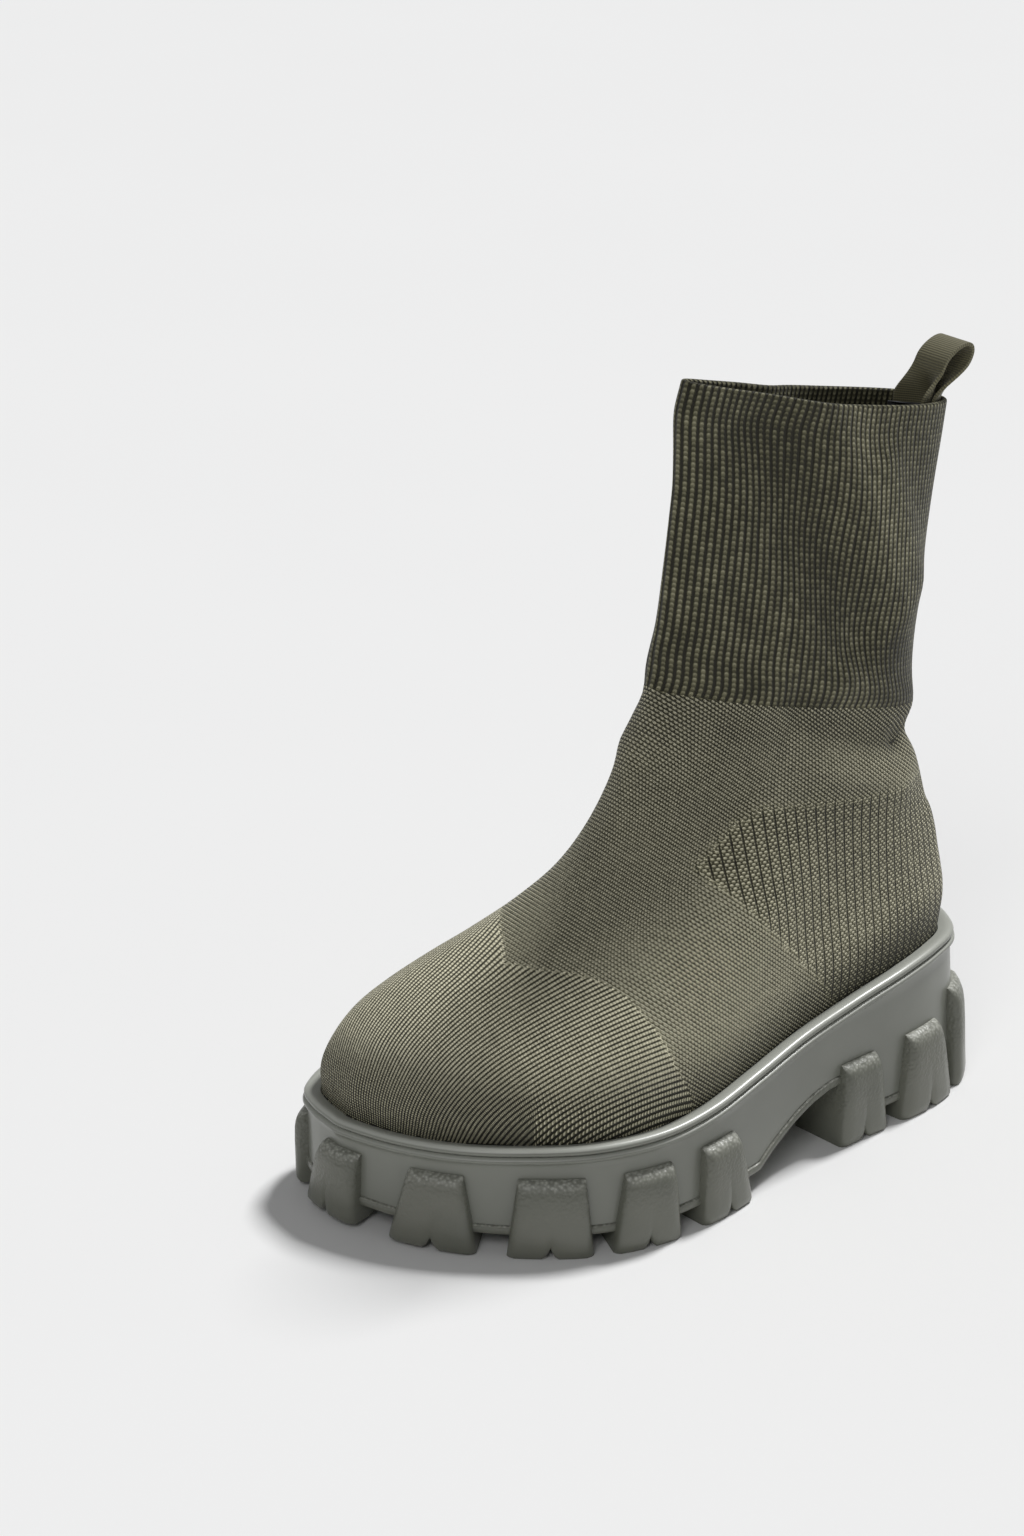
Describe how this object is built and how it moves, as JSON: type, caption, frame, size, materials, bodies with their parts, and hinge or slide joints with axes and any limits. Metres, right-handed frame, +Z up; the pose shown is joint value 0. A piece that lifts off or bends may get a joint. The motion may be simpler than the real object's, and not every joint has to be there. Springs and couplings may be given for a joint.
{
  "type": "sock boot",
  "caption": "Left knitted sock boot with a ribbed slack shaft, a webbing pull loop and a chunky platform sole whose notched lugs wrap up its side.",
  "frame": {"origin": "on the floor, under the middle of the boot's bounding box", "axes": "+X towards the outer (lateral) side of this left boot, +Y towards the heel, +Z up; the toe points to -Y"},
  "size_m": [0.1364, 0.2852, 0.303],
  "materials": {
    "knit": "olive rib knit with lighter stitches",
    "midsole": "moulded foam, satin grey-olive",
    "outsole": "grained rubber, grey-olive",
    "insole": "dark cloth over board",
    "webbing": "ribbed khaki webbing",
    "patch": "dark cloth"
  },
  "bodies": {
    "root": {"upper": "knit", "midsole": "midsole", "outsole": "outsole", "insole": "insole", "pull_loop": "webbing", "back_patch": "patch"}
  },
  "joints": []
}
